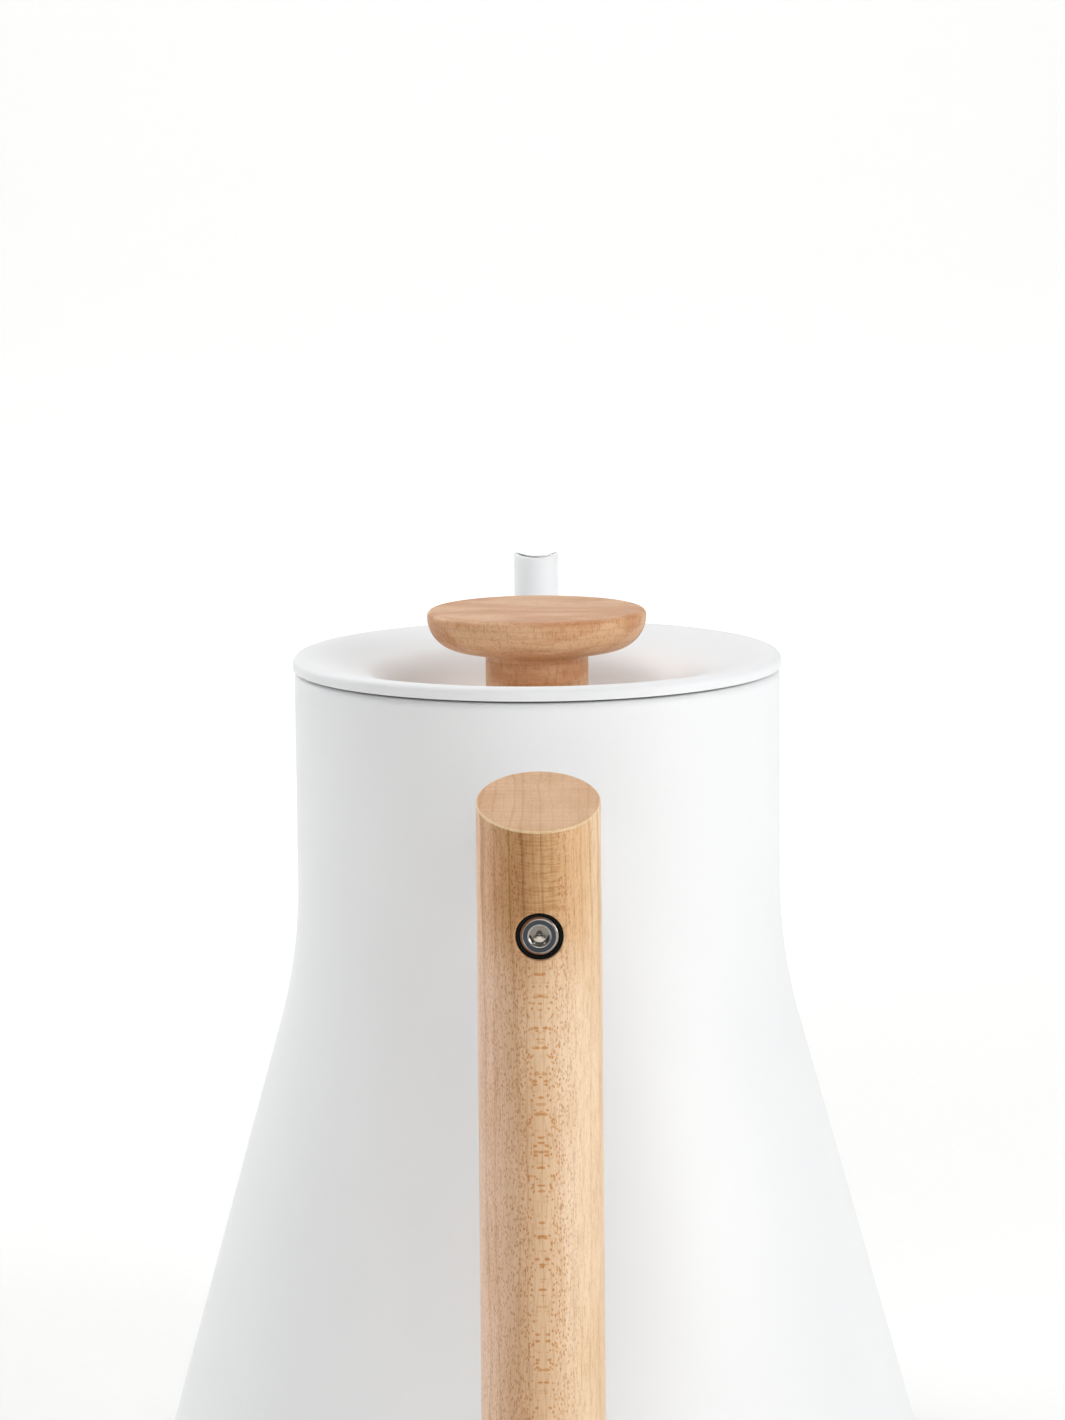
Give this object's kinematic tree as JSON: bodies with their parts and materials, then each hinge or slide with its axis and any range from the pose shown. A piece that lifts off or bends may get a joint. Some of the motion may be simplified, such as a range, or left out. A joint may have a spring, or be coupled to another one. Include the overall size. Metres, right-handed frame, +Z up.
{
  "type": "stovetop kettle",
  "caption": "Conical stovetop kettle with a straight neck, gooseneck spout, upright wooden dowel handle and a round lift-off lid with a wooden knob in its dish and a whistle under it.",
  "frame": {"origin": "centre of the base's flat face, on the surface that the kettle stands on", "axes": "+Z up along the vessel's axis, +X towards the spout, -X towards the handle"},
  "size_m": [0.2544, 0.158, 0.1861],
  "materials": {
    "white_paint": "satin white powder coat on steel",
    "steel": "stainless steel, brushed or as rolled",
    "spreader": "plain aluminium, enclosed",
    "maple": "turned maple with a clear matt oil",
    "black_nylon": "black nylon",
    "silicone": "black silicone",
    "brass": "turned brass"
  },
  "bodies": {
    "kettle": {"body_shell": "white_paint", "body_neck": "white_paint", "neck_collar": "white_paint", "body_floor": "steel", "heat_spreader": "spreader", "base_cap": "steel", "spout": "white_paint", "handle_arm": "white_paint", "arm_nut": "steel", "handle_grip": "maple", "grip_sleeve": "black_nylon", "grip_washer": "steel", "grip_screw": "steel"},
    "lid_seal": {"lid_gasket": "silicone"},
    "lid": {"lid_shell": "white_paint", "lid_skirt": "steel", "knob": "maple", "knob_insert": "brass", "knob_screw": "steel", "knob_washer": "steel", "whistle_cup": "steel", "whistle_seal": "silicone", "whistle_outer_plate": "steel", "whistle_spacer": "steel", "whistle_inner_plate": "steel"}
  },
  "joints": [
    {"name": "lid_lift", "type": "slide", "parent": "kettle", "child": "lid_seal", "axis": [0, 0, 1], "range_m": [0, 0.08]},
    {"name": "lid_turn", "type": "hinge", "parent": "lid_seal", "child": "lid", "pos_m": [0, 0, 0.174], "axis": [0, 0, 1], "continuous": true}
  ]
}
